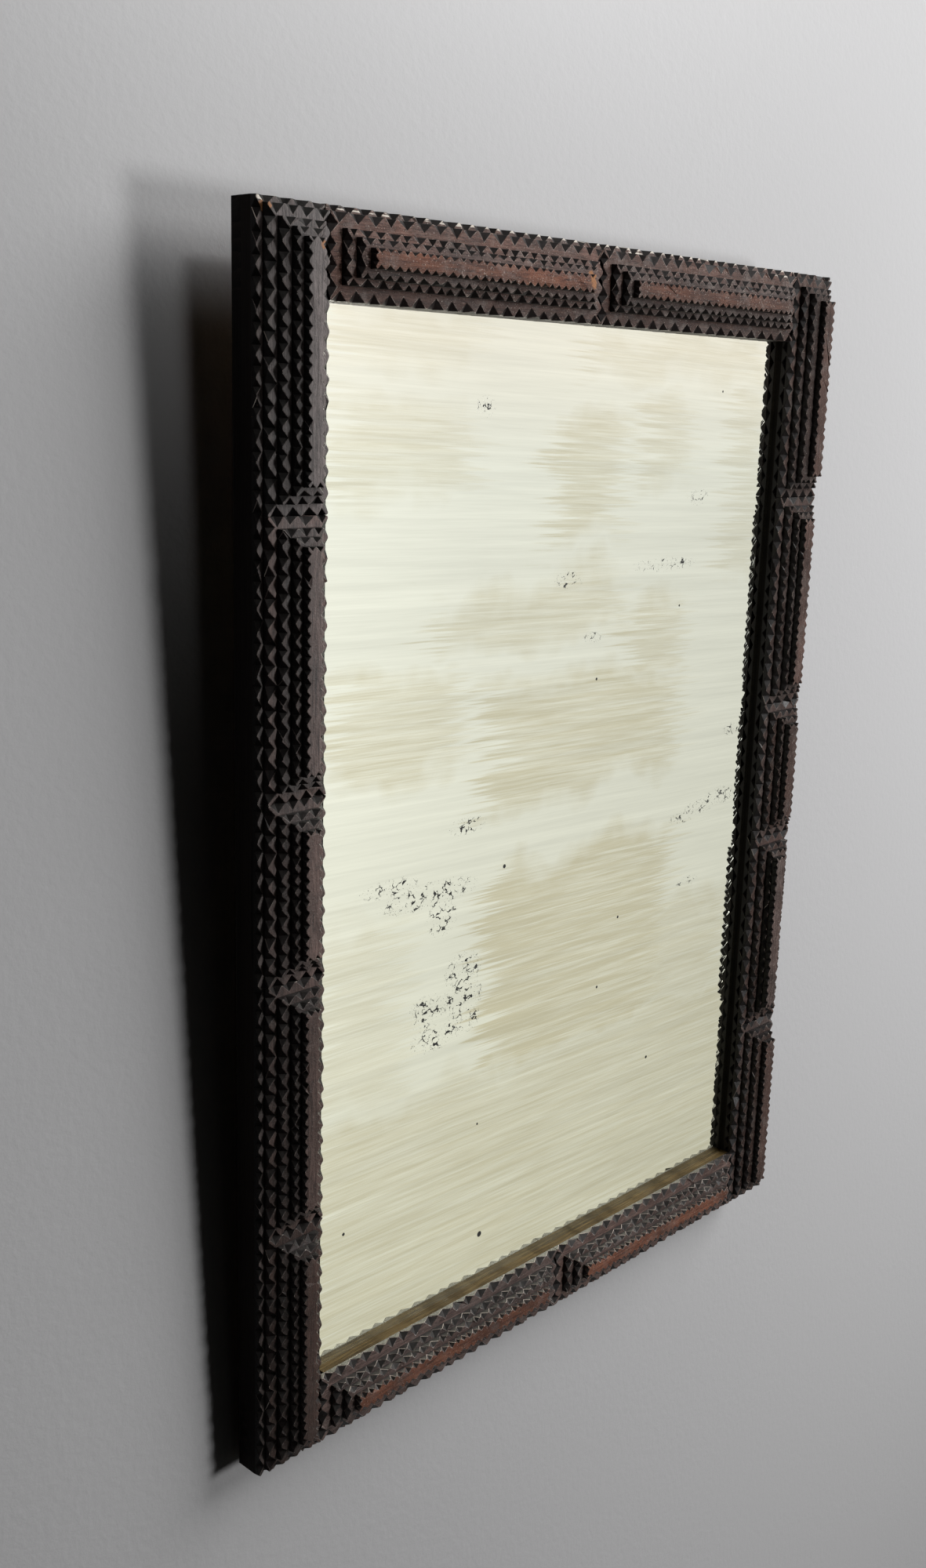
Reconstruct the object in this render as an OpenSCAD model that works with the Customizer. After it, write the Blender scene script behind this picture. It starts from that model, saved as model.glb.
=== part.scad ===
// Tramp art wall mirror: a half-lapped board frame covered with stepped, edge-notched stacks of thin wood.
// Millimetres. +Z is up, the front faces -Y, and the back of the boards lies on Y = 0.
// The origin is the centre of the bottom rail's back face, which bears on the wall.

/* [Frame] */
// Overall height
frame_h = 762; // [600:1:900]
// Overall width
frame_w = 564; // [420:1:720]
// Width of a stile, from the outer edge to the sight edge
stile_w = 53.4; // [48:0.2:64]
// Width of a rail, from the outer edge to the sight edge
rail_w = 50; // [46:0.2:60]
// Thickness of the base boards
board_t = 16; // [14:0.5:24]
// Thickness of one carved layer
layer_t = 4.2; // [3:0.1:6]
// Thickness of the glue line under each carved layer
glue_line = 0.05; // [0.02:0.01:0.1]

/* [Stacks on the stiles] */
// Ground strip left showing outside the stile stacks
stile_margin = 4.4; // [2:0.2:6]
// How far the base layers on the left stile stop short of the sight edge
left_back = 5.4; // [0:0.2:8]
// Length of the short middle stack
middle_block = 110; // [70:1:150]
// Side step from the base layer to the second layer
stile_step_1 = 6.5; // [4:0.1:8]
// Side step from the second layer to the third layer
stile_step_2 = 6.4; // [4:0.1:8]
// Side step from the third layer to the cap
stile_step_3 = 4.8; // [3:0.1:6]
// End step from the base layer to the second layer
stile_end_1 = 6.5; // [4:0.1:12]
// End step from the second layer to the third layer
stile_end_2 = 4.6; // [3:0.1:10]
// End step from the third layer to the cap
stile_end_3 = 4.8; // [3:0.1:10]

/* [Stacks on the rails] */
// Ground strip left showing outside the rail stacks
rail_margin = 3.6; // [2:0.2:6]
// Side step from the base layer to the second layer
rail_step_1 = 8.4; // [4:0.1:10]
// Side step from the second layer to the third layer
rail_step_2 = 4.1; // [3:0.1:6]
// Side step from the third layer to the cap
rail_step_3 = 5.1; // [3:0.1:6]
// End step from the base layer to the second layer
rail_end_1 = 8.5; // [4:0.1:14]
// End step from the second layer to the third layer
rail_end_2 = 6.7; // [3:0.1:12]
// End step from the third layer to the cap
rail_end_3 = 6.8; // [3:0.1:12]

/* [Notches] */
// Wanted spacing of the notches on the ground strips
ground_pitch = 11.5; // [8:0.1:16]
// Depth of a ground notch across the front face
ground_cut = 5.4; // [2:0.1:7]
// Wanted spacing of the notches on the base layers
base_pitch = 12.4; // [8:0.1:16]
// Depth of a base notch across the front face
base_cut = 5.4; // [2:0.1:7]
// Wanted spacing of the notches on the second layers
second_pitch = 10; // [7:0.1:14]
// Depth of a second-layer notch across the front face
second_cut = 3.9; // [2:0.1:5]
// Wanted spacing of the notches on the third layers
third_pitch = 9; // [6:0.1:12]
// Depth of a third-layer notch across the front face
third_cut = 3.2; // [2:0.1:4]
// Wanted spacing of the notches on the caps
cap_pitch = 6.8; // [5:0.1:10]
// Depth of a cap notch across the front face
cap_cut = 2.7; // [1.5:0.1:4]
// Thickness left uncut at the back of a notched edge
edge_left = 0.6; // [0.3:0.1:1.5]
// Flat left on the tip of each tooth
tip_land = 0.5; // [0.2:0.1:1]

/* [Glass and back] */
// Board left in front of the glass
lip_t = 3; // [2:0.2:6]
// Width of the rebate behind the sight edge
rebate_w = 8; // [6:0.5:12]
// Thickness of the sight slips that line the opening
slip_t = 2.5; // [1.5:0.1:4]
// Thickness of the mirror glass
glass_t = 3; // [2:0.5:4]
// Thickness of the back panel
panel_t = 5; // [3:0.5:6]
// Gap between the glass or panel and the rebate wall
glass_gap = 1; // [0.5:0.1:2]

/* [Brads] */
// Diameter of a brad
brad_d = 1.4; // [1:0.1:2]
// Length of a brad
brad_l = 14; // [12:1:18]
// Length of a brad that is driven into the board
brad_in = 6; // [4:0.5:8]

/* [Hangers] */
// Distance from the top edge down to the ring pivots
hanger_drop = 190; // [90:1:260]
// Width of a hanger strap
strap_w = 12; // [10:0.5:16]
// Length of a hanger strap below its pivot
strap_l = 46; // [44:1:60]
// Thickness of a hanger strap
strap_t = 1; // [0.8:0.1:1.1]
// Diameter of the ring wire
ring_wire = 2.5; // [2:0.1:3]
// Width inside the ring
ring_inside = 16; // [15:0.5:18]
// Length of the straight sides of the ring, from the pivot
ring_arm = 6; // [5:0.5:7]
// Radius of the bends beside the pivot
ring_bend = 2.5; // [2:0.1:3]
// Radial play of the ring in its knuckle
ring_play = 0.1; // [0.05:0.01:0.2]
// Wall of the knuckle around the ring
knuckle_wall = 1.2; // [1.15:0.05:2]
// Distance from the pivot to the first screw
screw_first = 26; // [24:1:28]
// Distance between the two screws
screw_apart = 13; // [10:0.5:14]
// Diameter of a screw's shank
screw_d = 3; // [2.5:0.1:3.5]
// Length of a screw under its head
screw_l = 13; // [10:0.5:14]
// Diameter of a screw's head
screw_head_d = 6.4; // [5.5:0.1:7]
// Height of a screw's head
screw_head_h = 1.8; // [1.4:0.1:2.2]
// Radial room of the screws in the strap holes
strap_hole_gap = 0.2; // [0.1:0.05:0.4]
// Radial room of brads and screws in the boards
fit_gap = 0.05; // [0.02:0.01:0.1]

/* [Hidden] */
$fn = 48;

STILE_SIDES = ["left", "right"];
RAIL_SIDES = ["top", "bottom"];
STILE_BLOCKS = [1, 2, 3, 4, 5];
RAIL_BLOCKS = [1, 2];
LAYERS = ["base", "steps", "cap"];

// The frame is laid out on the bench: x to the right, y up the frame from its bottom edge, z out of the wall.
half_w = frame_w / 2;
stile_inner = stile_w - slip_t;
rail_inner = rail_w - slip_t;
lap_z = board_t / 2;
glass_front = board_t - lip_t;
panel_front = glass_front - glass_t;
panel_back = panel_front - panel_t;
slip_depth = lip_t + glue_line + layer_t;
origin_y = (rail_w - rebate_w) / 2;

// Height above the back of the boards of each carved layer's back face, ground strip first
function layer_z(n) = board_t + glue_line + n * (layer_t + glue_line);

// Notch spacing and depth of each carved layer, ground strip first
PITCHES = [ground_pitch, base_pitch, second_pitch, third_pitch, cap_pitch];
CUTS = [ground_cut, base_cut, second_cut, third_cut, cap_cut];

// Total set-in of layers 1 to 4 from the base layer's sides and ends
STILE_SIDE_IN = [0, stile_step_1, stile_step_1 + stile_step_2, stile_step_1 + stile_step_2 + stile_step_3];
STILE_END_IN = [0, stile_end_1, stile_end_1 + stile_end_2, stile_end_1 + stile_end_2 + stile_end_3];
RAIL_SIDE_IN = [0, rail_step_1, rail_step_1 + rail_step_2, rail_step_1 + rail_step_2 + rail_step_3];
RAIL_END_IN = [0, rail_end_1, rail_end_1 + rail_end_2, rail_end_1 + rail_end_2 + rail_end_3];

// Stacks: lengths and centres along a stile from the top down, and along a rail from the left
long_block = (frame_h - 2 * rail_margin - middle_block) / 4;
STILE_LENGTHS = [long_block, long_block, middle_block, long_block, long_block];
function stile_start(i) = i == 0 ? rail_margin : stile_start(i - 1) + STILE_LENGTHS[i - 1];
function stile_centre(i) = frame_h - stile_start(i) - STILE_LENGTHS[i] / 2;
rail_block = half_w - stile_w;
function rail_extra(i) = i == 0 ? left_back : 0;
function rail_length(i) = rail_block + rail_extra(i);
function rail_centre(i) = (i - 1 / 2) * rail_block - rail_extra(i) / 2;

// How far each layer on the left stile stops short, ground strip first, as shares of the base layers' distance
LEFT_BACK_SHARES = [1, 1, 0.96, 0.63, 0.19];
function set_back(side, n) = side == "left" ? left_back * LEFT_BACK_SHARES[n] : 0;

// How far each cap on the right stile was glued off the middle of its stack, outward, as shares of its side step
RIGHT_CAP_OUT = [0.95, 0, 0, -0.6, 0.6];

stile_base_w = stile_w - stile_margin;
rail_base_w = rail_w - rail_margin;
stile_stack_x = half_w - stile_margin - stile_base_w / 2;
rail_stack_y = rail_margin + rail_base_w / 2;

// Hanger geometry: the pivot's height on the bench, behind the back plane, and on the stile's back face
ring_r = ring_wire / 2;
bore_r = ring_r + ring_play;
knuckle_r = bore_r + knuckle_wall;
pivot_y = frame_h - hanger_drop;
hanger_x = half_w - (stile_w - rebate_w) / 2;
ring_half = ring_inside / 2 + ring_r;
SCREW_DROPS = [screw_first, screw_first + screw_apart];
strap_hole_r = screw_d / 2 + strap_hole_gap;
screw_slot_w = 0.9;
screw_slot_d = 0.8;
screw_point = screw_d;
pilot_extra = 0.5;
DOME_ANGLES = [0 : 15 : 90];

// Brads: places along the rebate walls, as shares of the opening
STILE_BRADS = [1 / 6, 1 / 2, 5 / 6];
RAIL_BRADS = [1 / 4, 3 / 4];
brad_z = panel_back - brad_d / 2;
rebate_x = half_w - stile_w + rebate_w;
rebate_low = rail_w - rebate_w;
rebate_high = frame_h - rebate_low;

STAIN = "#3a2723";
STAIN_CAP = "#5d4139";
BARE = "#8a6a3c";
SILVERED = "#e6e4cf";
BOARD_DARK = "#1d1513";
BRASS = "#a98a4b";
STEEL = "#8d8d8a";

// Small overlap that makes a cut run clear of the face it starts on
clear = 1;

// Stands the bench layout up against the wall, with the origin on the bottom rail
module hang() {
    translate([0, 0, -origin_y]) rotate([90, 0, 0]) children();
}

// Mirrors a child made for the right stile to the left one, or one made for the bottom rail to the top one
module on_stile(side) {
    mirror([side == "left" ? 1 : 0, 0, 0]) children();
}

module on_rail(side) {
    translate([0, side == "top" ? frame_h : 0, 0]) mirror([0, side == "top" ? 1 : 0, 0]) children();
}

// A row of V grooves across one arris, which runs along x from 0; the wood is at y > 0 and z < 0.
// Each groove's floor slopes from cut deep on the front face to drop deep on the side face.
module notch_row(length, pitch, cut) {
    drop = layer_t - edge_left;
    slope = sqrt(cut * cut + drop * drop);
    height = cut * drop / slope;
    count = max(1, round(length / pitch));
    step = length / count;
    tip = height * step / (step - tip_land);
    zigzag = [for (i = [0 : 2 * count]) [i * step / 2, i % 2 == 0 ? tip : 0]];
    translate([0, cut, 0]) rotate([180 - atan2(cut, drop), 0, 0])
        linear_extrude(height = 4 * slope, center = true)
            polygon(concat(zigzag, [[length, 2 * tip], [0, 2 * tip]]));
}

// One layer of wood, centred on x and y with its back at z = 0, notched along the chosen edges.
// The edges are given in the order lower, right, upper, left.
module notched_layer(size, n, edges = [true, true, true, true]) {
    difference() {
        translate([-size[0] / 2, -size[1] / 2, 0]) cube([size[0], size[1], layer_t]);
        for (e = [0 : 3]) {
            along = e % 2 == 0 ? size[0] : size[1];
            across = e % 2 == 0 ? size[1] : size[0];
            if (edges[e])
                rotate(90 * e) translate([-along / 2, -across / 2, layer_t])
                    notch_row(along, PITCHES[n], CUTS[n]);
        }
    }
}

// Layer n (1 base to 4 cap) of stack i on a stile, made for the right-hand side
module stile_layer(side, i, n) {
    back = set_back(side, n);
    size = [stile_base_w - 2 * STILE_SIDE_IN[n - 1] - back, STILE_LENGTHS[i] - 2 * STILE_END_IN[n - 1]];
    translate([stile_stack_x + back / 2, stile_centre(i), layer_z(n)]) notched_layer(size, n);
}

// Layer n (1 base to 4 cap) of stack i on the bottom rail
module rail_layer(i, n) {
    size = [rail_length(i) - 2 * RAIL_END_IN[n - 1], rail_base_w - 2 * RAIL_SIDE_IN[n - 1]];
    translate([rail_centre(i), rail_stack_y, layer_z(n)]) notched_layer(size, n);
}

module stile_block_base(side, i) {
    color(STAIN) hang() on_stile(side) stile_layer(side, i, 1);
}

module stile_block_steps(side, i) {
    color(STAIN) hang() on_stile(side) {
        stile_layer(side, i, 2);
        stile_layer(side, i, 3);
    }
}

module stile_block_cap(side, i) {
    out = side == "right" ? RIGHT_CAP_OUT[i] * stile_step_3 : 0;
    color(STAIN_CAP) hang() on_stile(side) translate([out, 0, 0]) stile_layer(side, i, 4);
}

module rail_block_base(side, i) {
    color(STAIN) hang() on_rail(side) rail_layer(i, 1);
}

module rail_block_steps(side, i) {
    color(STAIN) hang() on_rail(side) {
        rail_layer(i, 2);
        rail_layer(i, 3);
    }
}

module rail_block_cap(side, i) {
    color(STAIN_CAP) hang() on_rail(side) rail_layer(i, 4);
}

// The space cut out behind the lip of all four boards, for the glass and the back panel
module rebate() {
    translate([-rebate_x, rebate_low, -clear])
        cube([2 * rebate_x, rebate_high - rebate_low, glass_front + clear]);
}

// A brad lying along x from the rebate wall at x = 0 into the opening
module brad(r) {
    translate([-brad_in, 0, 0]) rotate([0, 90, 0]) cylinder(r = r, h = brad_l);
}

// All brads, at radius r: turned 0 and 180 on the stiles, 90 and 270 on the rails
module brad_places(r) {
    opening_h = rebate_high - rebate_low;
    for (s = STILE_BRADS, turn = [0, 180])
        translate([turn == 0 ? -rebate_x : rebate_x, rebate_low + s * opening_h, brad_z])
            rotate(turn) brad(r);
    for (s = RAIL_BRADS, turn = [90, 270])
        translate([(2 * s - 1) * rebate_x, turn == 90 ? rebate_low : rebate_high, brad_z])
            rotate(turn) brad(r);
}

// Pilot holes for the hanger screws of one stile
module pilot_holes() {
    for (d = SCREW_DROPS)
        translate([hanger_x, pivot_y - d, -clear])
            cylinder(r = screw_d / 2 + fit_gap, h = screw_l - strap_t + pilot_extra + clear);
}

// A full-height board whose back half is lapped away at both ends
module stile_board(side) {
    color(BOARD_DARK) hang() difference() {
        on_stile(side) difference() {
            translate([half_w - stile_inner, 0, 0]) cube([stile_inner, frame_h, board_t]);
            for (y = [-clear, frame_h - rail_inner])
                translate([half_w - stile_inner - clear, y, -clear])
                    cube([stile_inner + 2 * clear, rail_inner + clear, lap_z + clear]);
            pilot_holes();
        }
        rebate();
        brad_places(brad_d / 2 + fit_gap);
    }
}

// A full-width board whose front half is lapped away at both ends
module rail_board(side) {
    color(BOARD_DARK) hang() difference() {
        on_rail(side) difference() {
            translate([-half_w, 0, 0]) cube([frame_w, rail_inner, board_t]);
            for (x = [-half_w - clear, half_w - stile_inner])
                translate([x, -clear, lap_z])
                    cube([stile_inner + clear, rail_inner + 2 * clear, board_t - lap_z + clear]);
        }
        rebate();
        brad_places(brad_d / 2 + fit_gap);
    }
}

// A full-height strip about as wide as the stile, notched along all four edges
module stile_ground_strip(side) {
    strip_w = stile_w - set_back(side, 0);
    color(STAIN) hang() on_stile(side)
        translate([half_w - strip_w / 2, frame_h / 2, layer_z(0)])
            notched_layer([strip_w, frame_h], 0);
}

// A strip between the two stile strips, notched along its outer edge
module rail_ground_strip(side) {
    extra = set_back("left", 0);
    color(STAIN) hang() on_rail(side)
        translate([-extra / 2, rail_inner / 2, layer_z(0)])
            notched_layer([frame_w - 2 * stile_w + extra, rail_inner], 0, [true, false, false, false]);
}

// Two upright slips along the stiles, from the glass to the backs of the ground strips
module stile_sight_slips() {
    color(BARE) hang() for (side = STILE_SIDES)
        on_stile(side)
            translate([half_w - stile_w, rail_inner, glass_front])
                cube([slip_t, frame_h - 2 * rail_inner, lip_t]);
}

// Two level slips along the rails, between the upright ones, from the glass to the front of the ground strips
module rail_sight_slips() {
    color(BARE) hang() for (side = RAIL_SIDES)
        on_rail(side)
            translate([stile_w - half_w, rail_inner, glass_front])
                cube([frame_w - 2 * stile_w, slip_t, slip_depth]);
}

// A sheet that fills the rebate but for the gap around it
module rebate_sheet(back, thickness) {
    translate([glass_gap - rebate_x, rebate_low + glass_gap, back])
        cube([2 * (rebate_x - glass_gap), rebate_high - rebate_low - 2 * glass_gap, thickness]);
}

module mirror_glass() {
    color(SILVERED) hang() rebate_sheet(panel_front, glass_t);
}

module back_panel() {
    color(BARE) hang() rebate_sheet(panel_back, panel_t);
}

module brads() {
    color(STEEL) hang() brad_places(brad_d / 2);
}

// A strap with a rolled knuckle at its upper end and two screw holes, for each stile
module hanger_straps() {
    color(BRASS) hang() for (side = STILE_SIDES)
        on_stile(side) translate([hanger_x, pivot_y, 0]) difference() {
            union() {
                translate([-strap_w / 2, -strap_l, -strap_t]) cube([strap_w, strap_l, strap_t]);
                translate([0, 0, -knuckle_r]) rotate([0, 90, 0])
                    cylinder(r = knuckle_r, h = strap_w, center = true);
            }
            translate([0, 0, -knuckle_r]) rotate([0, 90, 0])
                cylinder(r = bore_r, h = strap_w + 2 * clear, center = true);
            for (d = SCREW_DROPS)
                translate([0, -d, -strap_t - clear]) cylinder(r = strap_hole_r, h = strap_t + 2 * clear);
        }
}

// One slotted round-head screw, head up, with the underside of its head at z = 0
module hanger_screw() {
    head_r = screw_head_d / 2;
    shank_r = screw_d / 2;
    dome = [for (a = DOME_ANGLES) [head_r * cos(a), screw_head_h * sin(a)]];
    difference() {
        rotate_extrude()
            polygon(concat([[0, -screw_l], [shank_r, screw_point - screw_l], [shank_r, 0]], dome));
        translate([-head_r - clear, -screw_slot_w / 2, screw_head_h - screw_slot_d])
            cube([2 * (head_r + clear), screw_slot_w, screw_slot_d + clear]);
    }
}

module hanger_screws() {
    color(BRASS) hang() for (side = STILE_SIDES, d = SCREW_DROPS)
        on_stile(side) translate([hanger_x, pivot_y - d, -strap_t]) rotate([180, 0, 0]) hanger_screw();
}

// A closed wire ring that hangs from its straight bar: bar, two bends, two arms and a half-round
module hanger_ring(side) {
    bar_half = ring_half - ring_bend;
    color(BRASS) hang() on_stile(side) translate([hanger_x, pivot_y, -knuckle_r]) {
        rotate([0, 90, 0]) cylinder(r = ring_r, h = 2 * bar_half, center = true);
        for (m = [0, 1]) mirror([m, 0, 0]) {
            translate([bar_half, -ring_bend, 0]) rotate_extrude(angle = 90) translate([ring_bend, 0])
                circle(r = ring_r);
            translate([ring_half, -ring_arm, 0]) rotate([-90, 0, 0])
                cylinder(r = ring_r, h = ring_arm - ring_bend);
        }
        translate([0, -ring_arm, 0]) rotate(180) rotate_extrude(angle = 180) translate([ring_half, 0])
            circle(r = ring_r);
    }
}

for (s = STILE_SIDES, b = STILE_BLOCKS) {
    stile_block_base(s, b - 1);
    stile_block_steps(s, b - 1);
    stile_block_cap(s, b - 1);
}
for (s = RAIL_SIDES, b = RAIL_BLOCKS) {
    rail_block_base(s, b - 1);
    rail_block_steps(s, b - 1);
    rail_block_cap(s, b - 1);
}
for (s = STILE_SIDES) {
    stile_board(s);
    stile_ground_strip(s);
    hanger_ring(s);
}
for (s = RAIL_SIDES) {
    rail_board(s);
    rail_ground_strip(s);
}
stile_sight_slips();
rail_sight_slips();
mirror_glass();
back_panel();
brads();
hanger_straps();
hanger_screws();
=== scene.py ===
"""Looks of a tramp art wall mirror.

It has hand-cut notched layers in worn dark stain, golden sight slips and an old hazed glass. Metres, in the
frame of the CAD model: +Z is up, the mirror faces -Y, and the backs of the boards lie on Y = 0.
"""

import math
import random

import bmesh
import bpy
from mathutils import Matrix, Vector


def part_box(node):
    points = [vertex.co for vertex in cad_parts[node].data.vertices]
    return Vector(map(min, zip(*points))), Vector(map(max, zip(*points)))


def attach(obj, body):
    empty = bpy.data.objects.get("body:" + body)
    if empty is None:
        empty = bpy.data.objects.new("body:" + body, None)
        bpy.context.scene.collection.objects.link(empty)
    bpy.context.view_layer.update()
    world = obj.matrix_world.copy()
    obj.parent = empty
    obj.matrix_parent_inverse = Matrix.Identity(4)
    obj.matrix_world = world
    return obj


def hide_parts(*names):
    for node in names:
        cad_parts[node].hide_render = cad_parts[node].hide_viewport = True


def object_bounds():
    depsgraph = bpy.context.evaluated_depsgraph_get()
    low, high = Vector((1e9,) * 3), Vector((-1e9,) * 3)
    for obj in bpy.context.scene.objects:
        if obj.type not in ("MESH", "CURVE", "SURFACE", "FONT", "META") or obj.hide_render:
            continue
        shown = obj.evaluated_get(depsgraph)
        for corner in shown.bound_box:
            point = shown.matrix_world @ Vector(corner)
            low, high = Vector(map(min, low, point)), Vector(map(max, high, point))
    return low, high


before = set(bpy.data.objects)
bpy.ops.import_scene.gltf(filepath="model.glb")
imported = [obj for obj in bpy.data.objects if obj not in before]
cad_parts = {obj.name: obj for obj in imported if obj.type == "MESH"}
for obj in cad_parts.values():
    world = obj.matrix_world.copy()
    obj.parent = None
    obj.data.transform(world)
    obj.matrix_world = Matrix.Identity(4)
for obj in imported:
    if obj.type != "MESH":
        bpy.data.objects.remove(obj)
cad_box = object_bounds()

MM = 0.001
SEED = 1890

# Camera: its place, its turn to the right, its look down and its roll in degrees, and its framing
CAMERA_AT = Vector((-0.8384, -0.6999, 0.6371))
CAMERA_TURN = 46.8
CAMERA_DOWN = 13.9
CAMERA_ROLL = 1.64
CAMERA_LENS = 36.57
SENSOR_HEIGHT = 36.0
CAMERA_SHIFT = (0.0014, 0.0108)

# Notch spacing and depth across the front face of each kind of layer, in mm
STYLES = {
    "ground": (11.5, 5.4),
    "base": (12.4, 5.7),
    "second": (10.0, 4.5),
    "third": (9.0, 3.4),
    "cap": (6.8, 2.7),
}
# The layers in each kind of carved node, from the back to the front
NODE_LAYERS = {
    "_base": ["base"],
    "_steps": ["second", "third"],
    "_cap": ["cap"],
    "_ground_strip": ["ground"],
}
# How uneven the carver's hand is: spacing, deepest place of a notch, its depths on the face and on the side
SPACING_SPREAD = 0.22
MIDDLE_SPREAD = 0.07
CUT_SPREAD = (0.88, 1.1)
DROP_SPREAD = (0.85, 1.08)
# Flat land between two notches and at the ends of an edge, and the wood left behind a notch, in mm
TIP_LAND = (0.6, 1.2)
END_LAND = (0.9, 1.5)
EDGE_LEFT = 0.6
# Wood worn off a layer's corners, off the tips of its teeth and off the few that are chipped, in mm
CORNER_WEAR = (0.1, 0.5)
TIP_WEAR = (0.0, 0.25)
CHIP_WEAR = (0.7, 1.5)
CHIP_CHANCE = 0.05
# How many times further that wear goes across the face than into the thickness
CORNER_SLOPE = 3
TIP_SLOPE = 2
# Width of the rubbed arrises, and how near to a layer's outline the tips of its teeth lie, in mm
ARRIS_BEVEL = 0.2
TIP_REACH = 0.45
# A face whose normal has more Y than this is the back of a layer, where the arrises stay sharp
BACK_FACING = 0.9
# A bevel whose normal has more Y than this counts as a cut facet; on the bottom rail nearly all are rubbed,
# and so painted pale as wear and as painted glint
FRONT_ARRIS = -0.55
ODD_ARRIS = {"bottom": 0.3}
FACE_SLOT, CUT_SLOT = 0, 1
# What the materials read from each face: rubbed arrises and tips (worn and painted glint), lightness with
# painted shade, redness, dust and pale specks (partly painted glints)
MARKS = ("edge", "tip", "tone_and_shade", "warm", "dust", "speck")

# The lower, right, upper and left edge of a layer seen from the front: the way along it and into the wood
EDGES = [
    (Vector((1, 0, 0)), Vector((0, 0, 1))),
    (Vector((0, 0, 1)), Vector((-1, 0, 0))),
    (Vector((-1, 0, 0)), Vector((0, 0, -1))),
    (Vector((0, 0, -1)), Vector((1, 0, 0))),
]
# How deep the notches are along each of those edges, as shares of the usual depth across the face
ALL_EDGES = (1, 1, 1, 1)
ODD_EDGES = {
    "top_ground_strip": (0, 0, 1, 0),
    "bottom_ground_strip": (1, 0, 0, 0),
    "left_ground_strip": (1, 1, 1, 0.65),
}

# How red each member's wood is, from grey brown at 0 to orange brown at 1, how dusty and how specked, the
# specks being partly painted glints
MEMBER_LOOKS = {
    "left": (0.1, 0.3, 0.15),
    "top": (0.5, 0.1, 0.75),
    "right": (0.42, 0.06, 0.5),
    "bottom": (0.32, 0.3, 0.45),
}
# How shiny each member still is on its fronts and in its cuts, and the colour of its rubbed arrises, which
# is worn wood and painted glint
FINISH = {
    "left": (0.3, 0.1, (0.17, 0.14, 0.125)),
    "top": (0.12, 0.18, (0.38, 0.32, 0.285)),
    "right": (0.1, 0.38, (0.22, 0.17, 0.145)),
    "bottom": (0.25, 0.35, (0.42, 0.38, 0.35)),
}
# How much redness and lightness vary by chance from piece to piece
WARMTH_SPREAD = 0.1
TONE_SPREAD = (0.88, 1.12)
# How much redder each lower stack on the left is than the one above it
LEFT_REDDENS = 0.08
# How much redder than the rest of its member a layer is
REDDER = {("top", "cap"): 0.3, ("bottom", "cap"): 0.64, ("top", "base"): 0.15}
# How light the stain is on each layer of each member, with painted shade on the steps behind the caps
TONE_AND_SHADE = {
    "left": {"ground": 0.8, "base": 0.92, "second": 0.6, "third": 0.55, "cap": 1.15},
    "top": {"ground": 0.8, "base": 0.85, "second": 0.76, "third": 0.72, "cap": 1.02},
    "right": {"ground": 0.42, "base": 0.48, "second": 0.3, "third": 0.28, "cap": 0.58},
    "bottom": {"ground": 0.95, "base": 0.65, "second": 0.4, "third": 0.45, "cap": 0.78},
}
# Stacks that are darker than the rest of their member, and how light they are next to it
BLOCK_TONE = {"left_block_3": 0.85, "left_block_4": 0.6, "left_block_5": 0.36, "top_block_2": 0.6}
# Painted shade across a member, lighter towards the glass on the left stile and darker low on the top rail:
# along which axis, from where to where in mm, and how light it is there
SHADE_ACROSS = {"left": ("X", -258, -246, 0.7, 1.1), "top": ("Z", 698, 722, 0.55, 1.1)}


# Carving

def rectangle(low_a, low_b, high_a, high_b):
    """The corners of a rectangle, starting at the lowest and going along the first axis."""
    return [(low_a, low_b), (high_a, low_b), (high_a, high_b), (low_a, high_b)]


def hand_spaced(length, pitch, rng):
    """Widths of the notches along an edge, as a carver spaces them by eye."""
    count = max(1, round(length / pitch))
    widths = [rng.uniform(1 - SPACING_SPREAD, 1 + SPACING_SPREAD) for _ in range(count)]
    scale = length / sum(widths)
    return [w * scale for w in widths]


def notches(length, thickness, style, rng):
    """Notches along an edge, in mm: start, deepest place, end, and depth on the face and on the side."""
    pitch, depth = STYLES[style]
    widths = hand_spaced(length, pitch, rng)

    def land(at_end):
        return rng.uniform(*END_LAND) if at_end else rng.uniform(*TIP_LAND) / 2

    found = []
    at = 0.0
    for i, width in enumerate(widths):
        start = at + land(i == 0)
        end = at + width - land(i == len(widths) - 1)
        middle = (start + end) / 2 + rng.uniform(-MIDDLE_SPREAD, MIDDLE_SPREAD) * width
        cut = depth * rng.uniform(*CUT_SPREAD) * math.sqrt(width / pitch)
        drop = min((thickness - EDGE_LEFT) * rng.uniform(*DROP_SPREAD), thickness - EDGE_LEFT / 2)
        found.append((start, middle, end, cut, drop))
        at += width
    return found


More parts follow.
